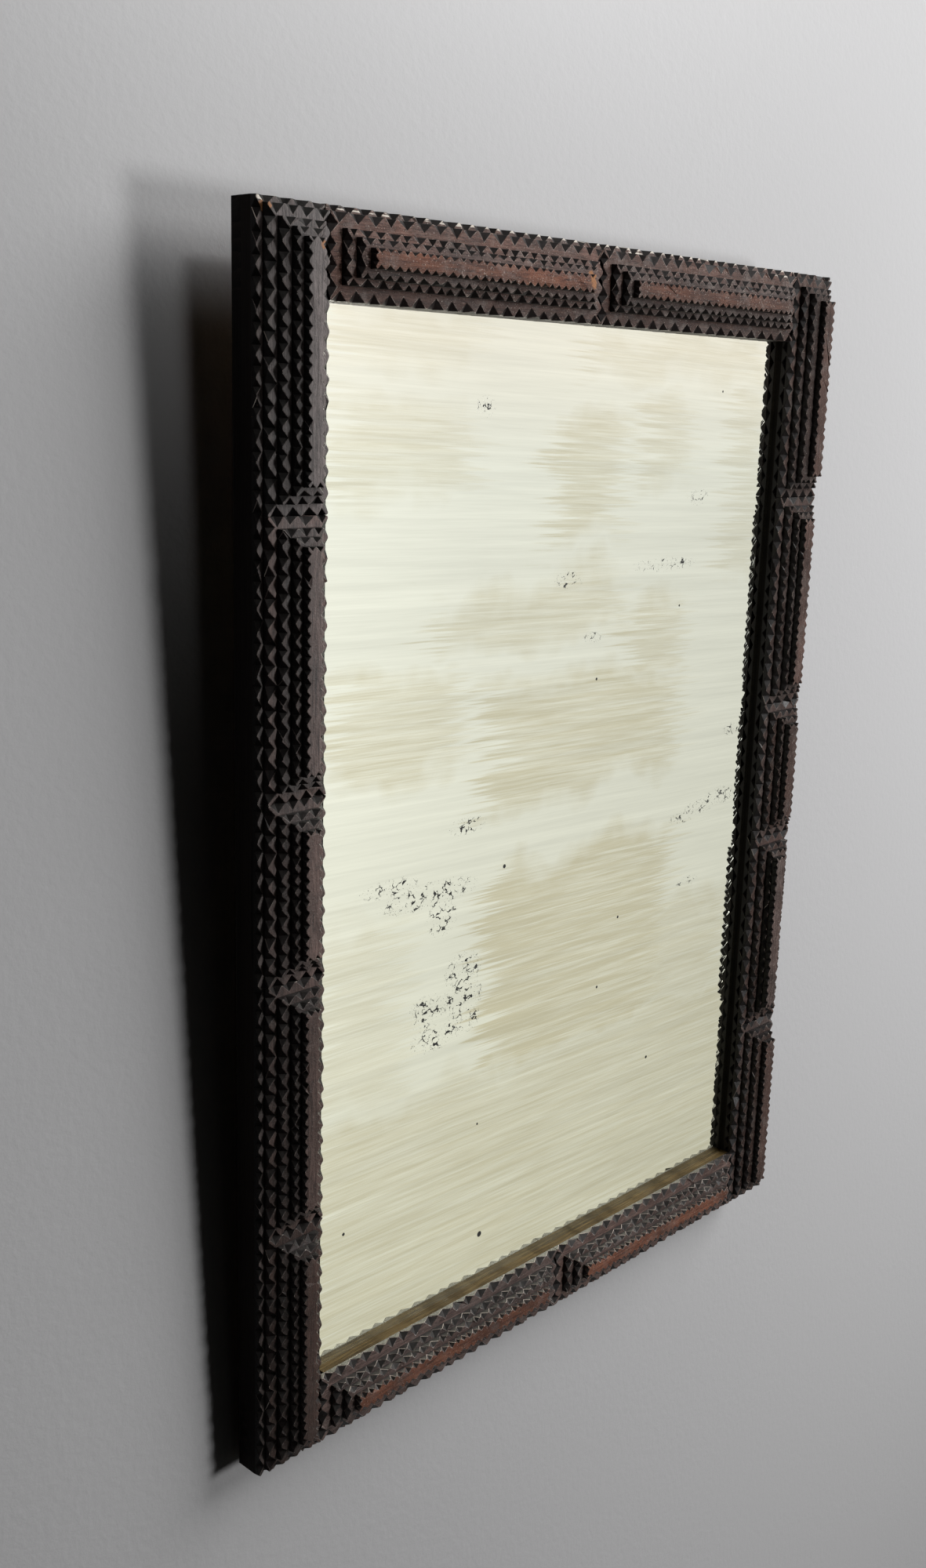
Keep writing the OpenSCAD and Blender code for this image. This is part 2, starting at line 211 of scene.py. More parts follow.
def carve_layer(low, high, style, shares, rng):
    """One layer of wood between two corners, with notches of those shares of depth along its front edges."""
    bm = bmesh.new()
    for mark in MARKS:
        bm.faces.layers.float.new(mark)
    thickness = (high.y - low.y) / MM
    corners = [Vector((x, 0, z)) for x, z in rectangle(low.x, low.z, high.x, high.z)]

    def vert(e, run, cut, drop):
        along, inward = EDGES[e]
        place = corners[e] + along * run * MM + inward * cut * MM
        return bm.verts.new(Vector((place.x, low.y + drop * MM, place.z)))

    def wear():
        return rng.uniform(*CHIP_WEAR) if rng.random() < CHIP_CHANCE else rng.uniform(*TIP_WEAR)

    def cut_notch(e, start, middle, end, cut, drop):
        rub_a, rub_b = wear(), wear()
        first = vert(e, start, rub_a, rub_a / TIP_SLOPE)
        last = vert(e, end, rub_b, rub_b / TIP_SLOPE)
        inner = vert(e, middle, cut * shares[e], 0)
        lower = vert(e, middle, 0, drop)
        bm.faces.new((first, lower, inner)).material_index = CUT_SLOT
        bm.faces.new((last, inner, lower)).material_index = CUT_SLOT
        return first, inner, lower, last

    backs = [bm.verts.new(Vector((c.x, high.y, c.z))) for c in corners]
    fronts = []
    for e in range(len(EDGES)):
        rub = rng.uniform(*CORNER_WEAR)
        fronts.append(vert(e, rub, rub, rub / CORNER_SLOPE))
    rims = []
    for e in range(len(EDGES)):
        length = (corners[(e + 1) % len(EDGES)] - corners[e]).length / MM
        planned = notches(length, thickness, style, rng) if shares[e] else []
        rims.append([cut_notch(e, *notch) for notch in planned])
    close_layer(bm, backs, fronts, rims)
    return bm


def close_layer(bm, backs, fronts, rims):
    """Adds the front, the sides and the back of a layer round its notches."""
    ring = []
    for corner, rim in zip(fronts, rims):
        ring.append(corner)
        for first, inner, lower, last in rim:
            ring += [first, inner, last]
    bm.faces.new(ring)
    for e, rim in enumerate(rims):
        after = (e + 1) % len(EDGES)
        path = [backs[e], backs[after], fronts[after]]
        for first, inner, lower, last in reversed(rim):
            path += [last, lower, first]
        bm.faces.new(path + [fronts[e]]).material_index = CUT_SLOT
    bm.faces.new(backs[::-1]).material_index = CUT_SLOT


def rub_arrises(bm, low, high, front, rng):
    """Takes the sharp arrises off a layer and marks the rubbed ones and the tips among them, for wear and
    painted glint.
    """
    bm.normal_update()
    arrises = [
        e for e in bm.edges
        if e.is_convex and not any(f.normal.y > BACK_FACING for f in e.link_faces)
    ]
    made = bmesh.ops.bevel(
        bm, geom=arrises, offset=ARRIS_BEVEL * MM, offset_type="OFFSET", segments=1, profile=0.5,
        affect="EDGES", clamp_overlap=True, material=FACE_SLOT,
    )
    edge, tip = (bm.faces.layers.float[mark] for mark in ("edge", "tip"))
    bm.normal_update()
    for f in made["faces"]:
        if f.normal.y > front:
            f.material_index = CUT_SLOT
            continue
        f[edge] = 1.0
        at = f.calc_center_median()
        reach = min(at.x - low.x, high.x - at.x, at.z - low.z, high.z - at.z)
        if reach < TIP_REACH * MM:
            f[tip] = rng.random()


def mark_faces(bm, marks):
    """Writes the same marks on all faces of a layer."""
    for mark, value in marks.items():
        layer = bm.faces.layers.float[mark]
        for f in bm.faces:
            f[layer] = value


def layer_boxes(name, count):
    """The lowest and highest corner of each layer in a CAD node, from the back to the front."""
    low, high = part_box(name)
    if count == 1:
        return [(low, high)]
    middle = (low.y + high.y) / 2
    points = [v.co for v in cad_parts[name].data.vertices]
    found = []
    for layer in ([p for p in points if p.y > middle], [p for p in points if p.y < middle]):
        found.append(tuple(Vector(pick(p[i] for p in layer) for i in range(3)) for pick in (min, max)))
    return found


def carved_node(name, rng):
    """A hand-cut stand-in for a carved CAD node, whose layers fill the same boxes."""
    styles = next(layers for suffix, layers in NODE_LAYERS.items() if name.endswith(suffix))
    member = name.split("_")[0]
    stack = name.rsplit("_", 1)[0]
    warmth, dusty, specked = MEMBER_LOOKS[member]
    warmth += rng.uniform(-WARMTH_SPREAD, WARMTH_SPREAD)
    if name.startswith("left_block"):
        warmth += LEFT_REDDENS * (int(name.split("_")[2]) - 1)
    mesh = bpy.data.meshes.new("carved_" + name)
    whole = bmesh.new()
    for style, (low, high) in zip(styles, layer_boxes(name, len(styles))):
        bm = carve_layer(low, high, style, ODD_EDGES.get(name, ALL_EDGES), rng)
        rub_arrises(bm, low, high, ODD_ARRIS.get(member, FRONT_ARRIS), rng)
        # The lightness carries painted shade: the steps are darker where the layers in front would shade
        # them.
        light = TONE_AND_SHADE[member][style] * rng.uniform(*TONE_SPREAD)
        light *= BLOCK_TONE.get(stack, 1)
        red = warmth + REDDER.get((member, style), 0) + rng.uniform(-WARMTH_SPREAD, WARMTH_SPREAD)
        mark_faces(bm, {"tone_and_shade": light, "warm": min(1, max(0, red)), "dust": dusty, "speck": specked})
        bm.to_mesh(mesh)
        bm.free()
        whole.from_mesh(mesh)
    whole.to_mesh(mesh)
    whole.free()
    piece = bpy.data.objects.new("carved_" + name, mesh)
    bpy.context.scene.collection.objects.link(piece)
    return piece


# Shader nodes

# The middle part of a noise's range, and nearly all of it
NOISE_MIDDLE = (0.3, 0.7)
NOISE_WIDE = (0.2, 0.8)
# Scale of a wave texture whose bands lie one metre apart
WAVE_SCALE = 0.1 * math.pi
# How much growth rings are drawn out along the grain
RING_STRETCH = 0.06


def put(tree, socket, value):
    """Links a socket to another, or sets a plain value on it."""
    if isinstance(value, bpy.types.NodeSocket):
        tree.links.new(value, socket)
    else:
        socket.default_value = value


def node(tree, kind, inputs=(), **settings):
    """A new shader node with those inputs and settings."""
    made = tree.nodes.new("ShaderNode" + kind)
    for key, value in settings.items():
        setattr(made, key, value)
    for key, value in dict(inputs).items():
        put(tree, made.inputs[key], value)
    return made


def coordinates(tree, kind):
    """Texture coordinates of one kind."""
    return node(tree, "TexCoord").outputs[kind]


def xyz(tree, vector):
    """The three parts of a vector, by name."""
    return node(tree, "SeparateXYZ", {0: vector}).outputs


def stretched(tree, vector, scale):
    """A vector scaled along each axis."""
    return node(tree, "Mapping", {"Vector": vector, "Scale": scale}).outputs["Vector"]


def noise(tree, vector, scale, detail=4, roughness=0.6, distortion=0.0):
    """The strength of a noise at each place."""
    inputs = {
        "Vector": vector, "Scale": scale, "Detail": detail, "Roughness": roughness, "Distortion": distortion,
    }
    return node(tree, "TexNoise", inputs).outputs["Fac"]


def span(tree, value, over, to=(0.0, 1.0)):
    """A value carried over from one range to another, and kept within it."""
    inputs = {"Value": value, "From Min": over[0], "From Max": over[1], "To Min": to[0], "To Max": to[1]}
    return node(tree, "MapRange", inputs, clamp=True).outputs["Result"]


def maths(tree, operation, a, b):
    """Two numbers put together."""
    return node(tree, "Math", {0: a, 1: b}, operation=operation).outputs[0]


def times(tree, a, b):
    """One number times another."""
    return maths(tree, "MULTIPLY", a, b)


def plus(tree, a, b):
    """One number plus another."""
    return maths(tree, "ADD", a, b)


def mix(tree, factor, a, b, blend="MIX"):
    """Two colours blended."""
    made = node(tree, "Mix", data_type="RGBA", blend_type=blend)
    put(tree, made.inputs[0], factor)
    for socket, value in ((made.inputs[6], a), (made.inputs[7], b)):
        put(tree, socket, value if isinstance(value, bpy.types.NodeSocket) else (*value, 1))
    return made.outputs[2]


def shaded(tree, colour, light):
    """A colour times a number."""
    return mix(tree, 1.0, colour, light, "MULTIPLY")


def ramp(tree, factor, stops):
    """A colour that goes through some stops."""
    made = node(tree, "ValToRGB", {"Fac": factor})
    elements = made.color_ramp.elements
    while len(elements) < len(stops):
        elements.new(0.5)
    for element, (at, colour) in zip(elements, stops):
        element.position = at
        element.color = (*colour, 1)
    return made.outputs["Color"]


def attribute(tree, name):
    """A mark that the faces carry."""
    return node(tree, "Attribute", attribute_name=name).outputs["Fac"]


def new_material(name):
    """A material, its node tree and its shader."""
    made = bpy.data.materials.new(name)
    made.use_nodes = True
    tree = made.node_tree
    return made, tree, tree.nodes["Principled BSDF"]


def bump(tree, height, relief):
    """The normal of a surface with a relief of some strength and depth in mm."""
    strength, depth = relief
    inputs = {"Height": height, "Strength": strength, "Distance": depth * MM}
    return node(tree, "Bump", inputs).outputs["Normal"]


def surface(tree, shader, colour, patchy, rough, height, relief):
    """Gives a shader its colour, a roughness that follows a patchy texture, and its relief."""
    put(tree, shader.inputs["Base Color"], colour)
    put(tree, shader.inputs["Roughness"], span(tree, patchy, NOISE_MIDDLE, to=rough))
    put(tree, shader.inputs["Normal"], bump(tree, height, relief))


def grain_coordinates(tree, along, across=12.0):
    """Object coordinates, and the same drawn out along the grain."""
    here = coordinates(tree, "Object")
    return here, stretched(tree, here, tuple(1.0 if axis == along else across for axis in "XYZ"))


def ring_lines(tree, here, along, spacing, waver):
    """Growth rings of a sawn board, spaced in mm, as long lines that waver along the grain."""
    drawn = stretched(tree, here, tuple(RING_STRETCH if axis == along else 1.0 for axis in "XYZ"))
    inputs = {
        "Vector": drawn, "Scale": WAVE_SCALE / (spacing * MM), "Distortion": waver,
        "Detail": 2.0, "Detail Scale": 1.0,
    }
    across = "X" if along == "Z" else "Z"
    return node(tree, "TexWave", inputs, bands_direction=across, wave_profile="SAW").outputs["Fac"]


def nearest(tree, parts, places):
    """Squared distance from the nearest of some places on the front, in half widths and heights of it."""
    found = None
    for x, z, half_w, half_h in places:
        across = maths(tree, "DIVIDE", maths(tree, "SUBTRACT", parts["X"], x * MM), half_w * MM)
        up = maths(tree, "DIVIDE", maths(tree, "SUBTRACT", parts["Z"], z * MM), half_h * MM)
        away = plus(tree, times(tree, across, across), times(tree, up, up))
        found = away if found is None else maths(tree, "MINIMUM", found, away)
    return found


# Stained wood of the carved layers

GREY_STAIN = [(0.30, (0.020, 0.015, 0.014)), (0.47, (0.100, 0.081, 0.077)), (0.70, (0.215, 0.180, 0.172))]
RED_STAIN = [(0.30, (0.022, 0.007, 0.004)), (0.47, (0.135, 0.044, 0.022)), (0.70, (0.250, 0.098, 0.052))]
# Near-black cut facets: partly end grain that drank the stain, partly painted shade.
CUT_GREY = [(0.3, (0.0015, 0.0013, 0.0013)), (0.7, (0.006, 0.005, 0.005))]
CUT_RED = [(0.3, (0.004, 0.0015, 0.0015)), (0.7, (0.017, 0.008, 0.007))]
DARK_PORE = (0.008, 0.006, 0.005)
WORN_WOOD = (0.30, 0.20, 0.14)
# Pale of worn tips and specks, which also stands for painted glints
PALE_WEAR_AND_GLINT = (0.55, 0.48, 0.42)
SCUFF_GREY = (0.22, 0.19, 0.175)
DUST = (0.20, 0.19, 0.18)
# Roughness of the cut facets where they aren't shiny, and how much smoother full shine makes them
CUT_ROUGH = (0.42, 0.66)
SHINE_SMOOTHS = 0.35
# Places on the fronts rubbed or mis-cut down to pale wood or only to orange wood, in mm: x, z, half width
# and half height, and how ragged their rims are; the pale ones along the top edge are also painted highlight
PALE_PLACES = [
    (-279.5, 739.5, 4.5, 1.6), (-203, 739.0, 32, 0.6), (-140, 739.2, 18, 0.4), (39, 738.2, 9, 0.7),
    (209, 736.2, 13, 0.7), (20, 740.4, 262, 1.0),
]
ORANGE_PLACES = [(-278.5, 735.5, 4, 3.5), (-250.2, 718, 2.4, 3.2), (-22, 716, 6, 6)]
PLACE_RAGGED = 2.5
# Pale bare wood that also stands for a painted highlight along the top edge
PALE_WOOD_AND_HIGHLIGHT = (0.72, 0.66, 0.58)
BARE_ORANGE = (0.34, 0.15, 0.06)


def stained_wood(name, along, shine, arris_wear_and_glint, shade_across=None):
    """Dark stained cigar-box wood, grain along one axis, lighter on arrises and pale on tips by wear and
    painted glint.
    """
    made, tree, shader = new_material(name)
    here, drawn = grain_coordinates(tree, along)
    parts = xyz(tree, here)
    grain = noise(tree, drawn, 52, detail=7, roughness=0.7, distortion=0.6)
    pores = noise(tree, drawn, 190, detail=3)
    blotch = noise(tree, here, 30, detail=5, roughness=0.65)
    scuffed = noise(tree, here, 75, detail=5, roughness=0.7)
    grit = noise(tree, here, 900, detail=2)
    rubbed = noise(tree, here, 240, detail=3)
    speck = attribute(tree, "speck")

    light = times(tree, span(tree, blotch, NOISE_MIDDLE, to=(0.5, 1.4)), attribute(tree, "tone_and_shade"))
    # Painted shade: the stain is darkened across the member where less light falls.
    if shade_across:
        axis, dark_at, light_at, darkest, lightest = shade_across
        unshaded = span(tree, parts[axis], (dark_at * MM, light_at * MM), to=(darkest, lightest))
        light = times(tree, light, unshaded)
    face = mix(tree, attribute(tree, "warm"), ramp(tree, grain, GREY_STAIN), ramp(tree, grain, RED_STAIN))
    face = shaded(tree, face, light)
    scuffs = times(tree, speck, span(tree, scuffed, (0.5, 0.7), to=(0.0, 0.6)))
    face = mix(tree, scuffs, face, SCUFF_GREY)
    face = mix(tree, span(tree, pores, (0.34, 0.43), to=(0.9, 0.0)), face, DARK_PORE)
    # Rubbed arrises: partly worn wood, partly painted glint.
    worn = times(tree, attribute(tree, "edge"), span(tree, rubbed, (0.48, 0.66), to=(0.0, 0.75)))
    face = mix(tree, worn, face, arris_wear_and_glint)
    # Pale tips and specks: partly worn wood and dust, partly painted glints.
    face = mix(tree, span(tree, attribute(tree, "tip"), (0.6, 0.8), to=(0.0, 0.9)), face, PALE_WEAR_AND_GLINT)
    specks = times(tree, speck, span(tree, grit, (0.63, 0.72), to=(0.0, 0.8)))
    face = mix(tree, specks, face, PALE_WEAR_AND_GLINT)
    ragged = times(tree, maths(tree, "SUBTRACT", scuffed, rubbed), PLACE_RAGGED)
    for places, bare in ((ORANGE_PLACES, BARE_ORANGE), (PALE_PLACES, PALE_WOOD_AND_HIGHLIGHT)):
        away = plus(tree, nearest(tree, parts, places), ragged)
        face = mix(tree, span(tree, away, (0.4, 0.9), to=(0.9, 0.0)), face, bare)

    shader.inputs["Specular IOR Level"].default_value = shine
    height = plus(tree, times(tree, grain, 0.6), plus(tree, pores, grit))
    surface(tree, shader, face, blotch, rough=(0.38, 0.6), height=height, relief=(0.5, 0.5))
    return made


def cut_wood(name, along, shine):
    """Knife-cut facets and sides, near black partly as the end grain drank more of the stain and partly as
    painted shade, and dust lies on what looks up.
    """
    made, tree, shader = new_material(name)
    here, drawn = grain_coordinates(tree, along, across=6.0)
    grain = noise(tree, drawn, 90, detail=5)
    grit = noise(tree, here, 700, detail=3)
    settled = noise(tree, here, 110, roughness=0.65)
    face = mix(tree, attribute(tree, "warm"), ramp(tree, grain, CUT_GREY), ramp(tree, grain, CUT_RED))
    up = xyz(tree, coordinates(tree, "Normal"))["Z"]
    dusty = times(tree, attribute(tree, "dust"), span(tree, up, (0.2, 0.6)))
    dusty = times(tree, dusty, span(tree, settled, (0.35, 0.65), to=(0.25, 0.95)))
    face = mix(tree, dusty, face, DUST)
    face = mix(tree, span(tree, grit, (0.68, 0.74), to=(0.0, 0.2)), face, WORN_WOOD)
    shader.inputs["Specular IOR Level"].default_value = shine
    rough = [dull - SHINE_SMOOTHS * shine for dull in CUT_ROUGH]
    surface(tree, shader, face, grit, rough, height=plus(tree, grain, grit), relief=(0.4, 0.3))
    return made


# Wood of the boards, the sight slips and the back panel

BLACK_BOARD = [(0.3, (0.003, 0.0025, 0.0025)), (0.7, (0.012, 0.009, 0.008))]
BARE_BOARD = [(0.25, (0.10, 0.055, 0.03)), (0.5, (0.22, 0.135, 0.075)), (0.75, (0.33, 0.22, 0.13))]
BOARD_BLOTCH = (0.06, 0.038, 0.026)
BOARD_PORE = (0.01, 0.007, 0.006)
BOARD_SHINE = 0.05
GOLDEN_SLIP = [(0.3, (0.030, 0.019, 0.008)), (0.52, (0.105, 0.069, 0.027)), (0.75, (0.25, 0.175, 0.078))]
# Dark stain of the stile slips and the upper rail slip, which stands for painted shade
SHADED_SLIP = [(0.3, (0.004, 0.003, 0.0025)), (0.7, (0.016, 0.012, 0.009))]
# Pale rubbed wood that also stands for a painted highlight on the slips' arris
SLIP_WEAR_AND_HIGHLIGHT = (0.50, 0.40, 0.22)
SLIP_SHINE = 0.08
# Heights between which the slips on the rails go from golden to dark, as painted shade
SLIP_SHADE_HEIGHTS = (0.3, 0.5)
PANEL_WOOD = [(0.25, (0.47, 0.33, 0.19)), (0.55, (0.36, 0.23, 0.12)), (0.8, (0.19, 0.105, 0.05))]
PANEL_BLOTCH = (0.12, 0.07, 0.04)
PANEL_PORE = (0.07, 0.04, 0.022)


def bare_or_black_board(name, along):
    """Board wood: near-black stain outside, bare and aged on the back."""
    made, tree, shader = new_material(name)
    here, drawn = grain_coordinates(tree, along, across=40.0)
    rings = ring_lines(tree, here, along, spacing=9, waver=7.0)
    streaks = noise(tree, drawn, 9, detail=6, roughness=0.65, distortion=0.2)
    grain = mix(tree, 0.4, streaks, rings)
    pores = noise(tree, drawn, 40, detail=3)
    blotch = noise(tree, here, 14, detail=5)
    bare = ramp(tree, grain, BARE_BOARD)
    bare = mix(tree, span(tree, blotch, (0.35, 0.75), to=(0.0, 0.75)), bare, BOARD_BLOTCH)
    backward = xyz(tree, coordinates(tree, "Normal"))["Y"]
    face = mix(tree, span(tree, backward, (0.4, 0.6)), ramp(tree, grain, BLACK_BOARD), bare)
    face = mix(tree, span(tree, pores, (0.34, 0.46), to=(0.55, 0.0)), face, BOARD_PORE)
    shader.inputs["Specular IOR Level"].default_value = BOARD_SHINE
    height = plus(tree, grain, pores)
    surface(tree, shader, face, blotch, rough=(0.5, 0.75), height=height, relief=(0.4, 0.5))
    return made


def slip_wood(name, along, stain, rubbed):
    """Fine straight-grained slip wood with flecks; the rubbed slips have arrises pale with wear and painted
    highlight, and painted shade that darkens them upwards.
    """
    made, tree, shader = new_material(name)
    here, drawn = grain_coordinates(tree, along, across=30.0)
    grain = noise(tree, drawn, 26, detail=6, roughness=0.65, distortion=0.3)
    blotch = noise(tree, here, 60)
    flecks = noise(tree, stretched(tree, drawn, (0.4, 0.4, 0.4)), 420, detail=3)
    face = ramp(tree, grain, stain)
    face = mix(tree, span(tree, blotch, (0.48, 0.72), to=(0.0, 0.75)), face, stain[0][1])
    face = mix(tree, span(tree, flecks, (0.30, 0.40), to=(0.85, 0.0)), face, DARK_PORE)
    if rubbed:
        # The slips' front upper arris is painted pale: partly rubbed wood, partly painted highlight.
        facing = xyz(tree, coordinates(tree, "Normal"))
        arris = span(tree, times(tree, facing["Y"], facing["Z"]), (-0.15, -0.35))
        worn = span(tree, noise(tree, here, 90, roughness=0.7), (0.45, 0.6))
        face = mix(tree, times(tree, arris, worn), face, SLIP_WEAR_AND_HIGHLIGHT)
        # Painted shade: the rail slips darken upwards, towards the slip that lies in shade.
        dark = span(tree, xyz(tree, here)["Z"], SLIP_SHADE_HEIGHTS, to=(0.0, 0.95))
        face = mix(tree, dark, face, SHADED_SLIP[0][1])
    shader.inputs["Specular IOR Level"].default_value = SLIP_SHINE
    height = plus(tree, grain, flecks)
    surface(tree, shader, face, blotch, rough=(0.45, 0.65), height=height, relief=(0.35, 0.3))
    return made


def aged_panel(name):
    """Bare softwood of the back panel, browned with age."""
    made, tree, shader = new_material(name)
    here, drawn = grain_coordinates(tree, "Z", across=50.0)
    rings = ring_lines(tree, here, "Z", spacing=16, waver=14.0)
    streaks = noise(tree, drawn, 7, detail=7, roughness=0.65, distortion=0.2)
    grain = mix(tree, 0.45, streaks, rings)
    fine = noise(tree, drawn, 30, detail=3)
    blotch = noise(tree, here, 7, detail=5)
    face = ramp(tree, grain, PANEL_WOOD)
    face = mix(tree, span(tree, blotch, (0.45, 0.75), to=(0.0, 0.7)), face, PANEL_BLOTCH)
    face = mix(tree, span(tree, fine, (0.32, 0.44), to=(0.5, 0.0)), face, PANEL_PORE)
    surface(tree, shader, face, blotch, rough=(0.55, 0.8), height=plus(tree, grain, fine), relief=(0.5, 0.6))
    return made


# Old mirror glass

# Haze on the glass: centre x and z, half width and half height in mm, and how thick it lies
HAZED = [
    (-165, 613, 62, 25, 0.6), (-160, 676, 60, 14, 0.4), (110, 676, 105, 16, 0.5), (10, 586, 33, 42, 0.8),
    (94, 612, 28, 27, 0.6), (200, 590, 24, 62, 0.5), (-40, 508, 94, 17, 0.7), (-165, 441, 58, 30, 0.8),
    (22, 419, 103, 41, 0.9), (95, 482, 30, 24, 0.8), (24, 262, 101, 71, 1.1), (170, 228, 46, 38, 0.7),
    (0, 110, 240, 84, 0.75), (-192, 262, 40, 62, 0.5),
]
# Half the width of its soft rim in mm, and how far in metres it is torn along the wiping and waves across
HAZE_SOFT = 9.0
HAZE_TORN = (-0.055, 0.055)
HAZE_WAVES = (-0.03, 0.03)
# Places on the glass where the silvering has crackled off: centre x and z, half width and height, in mm
CRACKLED = [
    (-169, 342, 26, 6), (-134, 330, 46, 9), (-122, 312, 15, 12), (-100, 271, 18, 13), (-134, 250, 17, 12),
    (-100, 250, 20, 14), (-125, 230, 24, 10), (-94, 235, 12, 10), (141, 336, 16, 5), (166, 341, 22, 6),
    (192, 346, 22, 7), (-94, 638, 9, 7), (-6, 526, 15, 6), (100, 531, 38, 5), (136, 578, 13, 6),
    (22, 485, 11, 4), (-100, 371, 18, 6), (153, 283, 14, 4), (200, 398, 12, 5),
]
# Cracks: how their pattern is scaled along each axis, how much they bend, and their greatest width in it
CRACK_SPACE = (1.0, 0.0, 1.25)
CRACK_BEND = 0.003
CRACK_WIDTH = 0.17
# Small dark spots in the silvering: x, z and radius, in mm
SPOTTED = [
    (159, 653, 0.9), (28, 455, 1.1), (67, 272, 1.1), (46, 222, 1.1), (-81, 153, 0.9), (113, 147, 1.3),
    (-206, 116, 1.2), (-75, 66, 2.2), (121, 500, 0.9), (-62, 336, 1.5),
]
# Streaks of the wiping: their slope, how many times longer they are than wide, and the broad ones' share
STREAK_TILT = 0.03
STREAK_STRETCH = 42.0
BROAD_SHARE = 0.6
# Tints of the silvering from low to high and to the top edge, and the heights between which they change
LOW_SILVER = (0.69, 0.70, 0.59)
HIGH_SILVER = (0.84, 0.86, 0.79)
TOP_SILVER = (0.92, 0.90, 0.815)
LOW_TO_HIGH = (0.05, 0.6)
HIGH_TO_TOP = (0.6, 0.68)
# It is brighter near the left edge, partly uneven silver and partly painted reflection: how much, from
# where to where across, and over which heights this grows
LEFT_LIFT = 0.13
LEFT_ACROSS = (-0.23, -0.09)
LEFT_HEIGHTS = (0.05, 0.3)
# It is duller towards the right edge, partly uneven silver and partly painted reflection: how much, from
# where to where, and over which heights this fades
RIGHT_DULL = 0.12
RIGHT_ACROSS = (-0.08, 0.2)
RIGHT_HEIGHTS = (0.56, 0.66)
HAZE_TINT = (0.81, 0.76, 0.65)
BARE_GLASS = (0.012, 0.012, 0.011)
BARE_ROUGH = 0.8


def old_mirror(name):
    """Cloudy silvered glass, with wiped haze in level streaks and black crackle where silver is lost."""
    made, tree, shader = new_material(name)
    here = coordinates(tree, "Object")
    parts = xyz(tree, here)
    tilted = plus(tree, parts["Z"], times(tree, parts["X"], STREAK_TILT))
    streaked = node(tree, "CombineXYZ", {0: parts["X"], 2: times(tree, tilted, STREAK_STRETCH)}).outputs[0]
    bands = noise(tree, streaked, 3.5, distortion=0.4)
    broad = noise(tree, streaked, 8, detail=5, distortion=0.3)
    fine = noise(tree, streaked, 24, distortion=0.2)
    wiped = plus(tree, times(tree, broad, BROAD_SHARE), times(tree, fine, 1 - BROAD_SHARE))
    hazed = haze(tree, parts, broad, noise(tree, here, 12, detail=3))
    hazed = times(tree, hazed, span(tree, wiped, (0.38, 0.6), to=(0.3, 1.1)))
    silver = silvering(tree, parts)
    silver = shaded(tree, silver, span(tree, bands, (0.35, 0.65), to=(1.04, 0.95)))
    silver = shaded(tree, silver, span(tree, wiped, (0.35, 0.65), to=(1.04, 0.96)))
    silver = mix(tree, hazed, silver, HAZE_TINT, "MULTIPLY")
    lost = crackle(tree, here, parts)
    put(tree, shader.inputs["Base Color"], mix(tree, lost, silver, BARE_GLASS))
    kept = maths(tree, "SUBTRACT", 1.0, lost)
    shine = span(tree, hazed, (0.0, 1.0), to=(1.0, 0.985))
    put(tree, shader.inputs["Metallic"], times(tree, shine, kept))
    put(tree, shader.inputs["Roughness"], times(tree, lost, BARE_ROUGH))
    return made


def silvering(tree, parts):
    """The silver's tint: yellower low down, palest at the top, and brighter on the left than on the right,
    the last partly painted reflection.
    """
    tint = mix(tree, span(tree, parts["Z"], LOW_TO_HIGH), LOW_SILVER, HIGH_SILVER)
    tint = mix(tree, span(tree, parts["Z"], HIGH_TO_TOP), tint, TOP_SILVER)
    lifted = span(tree, parts["X"], LEFT_ACROSS, to=(LEFT_LIFT, 0.0))
    lifted = times(tree, lifted, span(tree, parts["Z"], LEFT_HEIGHTS))
    tint = shaded(tree, tint, plus(tree, 1.0, lifted))
    dulled = span(tree, parts["X"], RIGHT_ACROSS, to=(0.0, RIGHT_DULL))
    dulled = times(tree, dulled, span(tree, parts["Z"], RIGHT_HEIGHTS, to=(1.0, 0.0)))
    return shaded(tree, tint, maths(tree, "SUBTRACT", 1.0, dulled))


def haze(tree, parts, torn, wavy):
    """How thick the haze lies: patches whose ends are torn along the wiping."""
    x = plus(tree, parts["X"], span(tree, torn, NOISE_WIDE, to=HAZE_TORN))
    z = plus(tree, parts["Z"], span(tree, wavy, NOISE_WIDE, to=HAZE_WAVES))
    found = None
    for at_x, at_z, half_w, half_h, thick in HAZED:
        off_x = maths(tree, "ABSOLUTE", maths(tree, "SUBTRACT", x, at_x * MM), 0.0)
        off_z = maths(tree, "ABSOLUTE", maths(tree, "SUBTRACT", z, at_z * MM), 0.0)
        rim_x = ((half_w - HAZE_SOFT) * MM, (half_w + HAZE_SOFT) * MM)
        rim_z = ((half_h - HAZE_SOFT) * MM, (half_h + HAZE_SOFT) * MM)
        across = span(tree, off_x, rim_x, to=(thick, 0.0))
        patch = times(tree, across, span(tree, off_z, rim_z, to=(1.0, 0.0)))
        found = patch if found is None else maths(tree, "MAXIMUM", found, patch)
    return found


